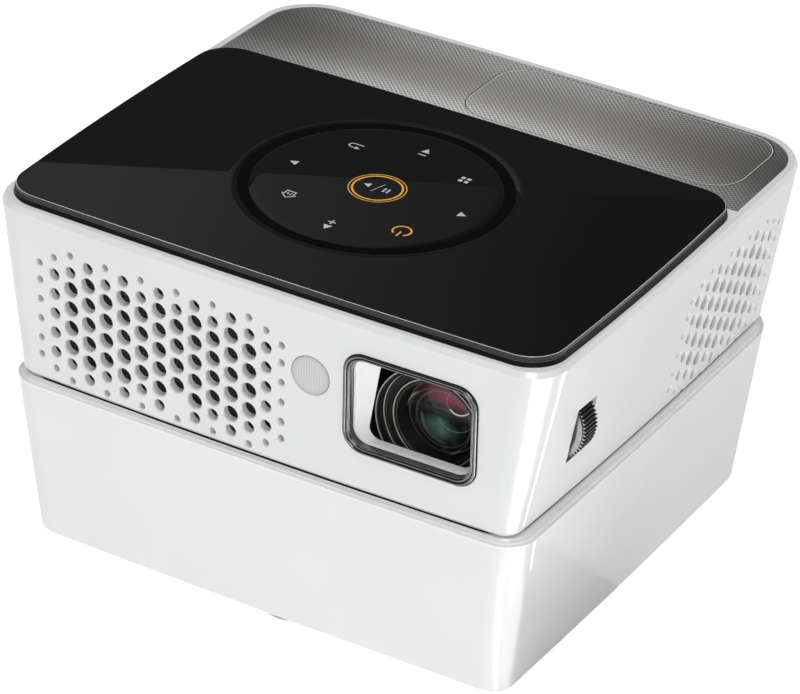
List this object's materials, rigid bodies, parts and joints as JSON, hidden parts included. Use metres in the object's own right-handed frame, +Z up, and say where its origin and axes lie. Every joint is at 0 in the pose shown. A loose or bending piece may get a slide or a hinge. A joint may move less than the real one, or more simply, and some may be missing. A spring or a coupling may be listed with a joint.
{
  "type": "pocket projector with disc player base",
  "caption": "Two-storey pocket projector: glass touch top, perforated front, lens with side focus wheel, rear dock cover, on a base module with a sliding disc tray.",
  "frame": {"origin": "bottom centre of the whole object, on the surface its feet rest on", "axes": "+X to the right seen from the front, +Y towards the back, +Z up; the tray leaves along -X"},
  "size_m": [0.1398, 0.1276, 0.09],
  "materials": {
    "case_white": "gloss white moulded case",
    "base_white": "gloss white moulded case",
    "glass_black": "black backed glass, polished",
    "carrier_black": "gloss black",
    "deck_grey": "dark grey satin with a fine printed dot texture",
    "chrome": "polished",
    "black_plastic": "matte black moulded",
    "dark_satin": "satin black",
    "recess_white": "satin white",
    "lens_glass": "coated optical glass",
    "ir_frost": "frosted translucent",
    "wheel_rubber": "knurled black rim with a satin silver face",
    "steel": "plated sheet steel",
    "alu": "satin",
    "brass": "turned",
    "rubber_grey": "soft grey",
    "pcb": "solder mask over glass fibre",
    "cell_wrap": "shrink sleeve",
    "foam": "open cell foam",
    "paper_cone": "pressed paper"
  },
  "bodies": {
    "base": {"base_shell": "base_white", "base_deck": "base_white", "deck_pads": "rubber_grey", "dock_connector": "black_plastic", "base_screws": "steel", "feet_rear": "rubber_grey", "tripod_insert": "brass", "base_board": "pcb", "battery_cells": "cell_wrap", "battery_holder": "black_plastic", "drive_frame": "steel", "drive_mounts": "rubber_grey"},
    "front_foot": {"front_foot": "rubber_grey"},
    "rail_slides": {"rail_slides": "steel"},
    "tray": {"tray": "dark_satin", "tray_front": "base_white", "spindle_motor": "alu", "sled_rods": "steel", "sled_motor": "alu"},
    "eject_button": {"eject_button": "base_white"},
    "spindle_hub": {"spindle_hub": "black_plastic"},
    "sled_screw": {"sled_screw": "steel"},
    "laser_sled": {"laser_sled": "black_plastic", "laser_lens": "lens_glass"},
    "projector": {"case_shell": "case_white", "case_bottom": "case_white", "case_screws": "steel", "glass_panel": "glass_black", "glass_carrier": "carrier_black", "touch_ring": "carrier_black", "touch_board": "pcb", "rear_deck": "deck_grey", "dock_bay": "black_plastic", "dock_plug": "black_plastic", "lens_bezel": "chrome", "lens_recess": "recess_white", "lens_tube": "black_plastic", "lens_rear": "lens_glass", "wheel_bracket": "steel", "ir_window": "ir_frost", "light_engine": "alu", "led_module": "dark_satin", "heat_sink": "alu", "fan_frame": "black_plastic", "main_board": "pcb", "speaker_box": "black_plastic", "speaker_cone": "paper_cone", "dust_filter": "foam", "port_plate": "black_plastic", "dc_inlet": "black_plastic", "hdmi_port": "steel", "usb_port": "steel", "audio_jack": "black_plastic"},
    "focus_wheel": {"focus_wheel": "wheel_rubber"},
    "focus_ring": {"focus_ring": "dark_satin"},
    "focus_barrel": {"focus_barrel": "black_plastic", "lens_front": "lens_glass"},
    "dock_cover": {"dock_cover": "deck_grey"},
    "fan_rotor": {"fan_rotor": "black_plastic"}
  },
  "joints": [
    {"name": "foot_screw", "type": "slide", "parent": "base", "child": "front_foot", "axis": [0, 0, -1], "range_m": [0, 0.006]},
    {"name": "tray_slide", "type": "slide", "parent": "base", "child": "tray", "axis": [-1, 0, 0], "range_m": [0, 0.082]},
    {"name": "rail_slide", "type": "slide", "parent": "base", "child": "rail_slides", "axis": [-1, 0, 0], "range_m": [0, 0.041]},
    {"name": "eject_press", "type": "slide", "parent": "tray", "child": "eject_button", "axis": [1, 0, 0], "range_m": [0, 0.0008], "stiffness_N_per_m": 300, "springref_m": -0.001},
    {"name": "spindle_spin", "type": "hinge", "parent": "tray", "child": "spindle_hub", "pos_m": [-0.016, 0, 0.025], "axis": [0, 0, 1], "continuous": true},
    {"name": "sled_screw_turn", "type": "hinge", "parent": "tray", "child": "sled_screw", "pos_m": [0, -0.0176, 0.0186], "axis": [1, 0, 0], "range_deg": [0, 720]},
    {"name": "sled_slide", "type": "slide", "parent": "tray", "child": "laser_sled", "axis": [1, 0, 0], "range_m": [0, 0.016]},
    {"name": "projector_lift", "type": "slide", "parent": "base", "child": "projector", "axis": [0, 0, 1], "range_m": [0, 0.03]},
    {"name": "focus_wheel_turn", "type": "hinge", "parent": "projector", "child": "focus_wheel", "pos_m": [0.0592, -0.04, 0.0649], "axis": [0, 1, 0], "range_deg": [-150, 150]},
    {"name": "focus_ring_turn", "type": "hinge", "parent": "projector", "child": "focus_ring", "pos_m": [0.0379, -0.038, 0.06185], "axis": [0, 1, 0], "range_deg": [-104.65, 104.65]},
    {"name": "focus_barrel_slide", "type": "slide", "parent": "projector", "child": "focus_barrel", "axis": [0, -1, 0], "range_m": [-0.0015, 0.0015]},
    {"name": "cover_lift", "type": "slide", "parent": "projector", "child": "dock_cover", "axis": [0, 0, 1], "range_m": [0, 0.02]},
    {"name": "fan_spin", "type": "hinge", "parent": "projector", "child": "fan_rotor", "pos_m": [0.0545, 0.027, 0.066], "axis": [1, 0, 0], "continuous": true}
  ],
  "couplings": [
    {"joint": "rail_slide", "follows": "tray_slide", "ratio": 0.5},
    {"joint": "focus_wheel_turn", "follows": "focus_ring_turn", "ratio": -1.4333},
    {"joint": "focus_barrel_slide", "follows": "focus_ring_turn", "m_per_rad": -0.000821}
  ]
}
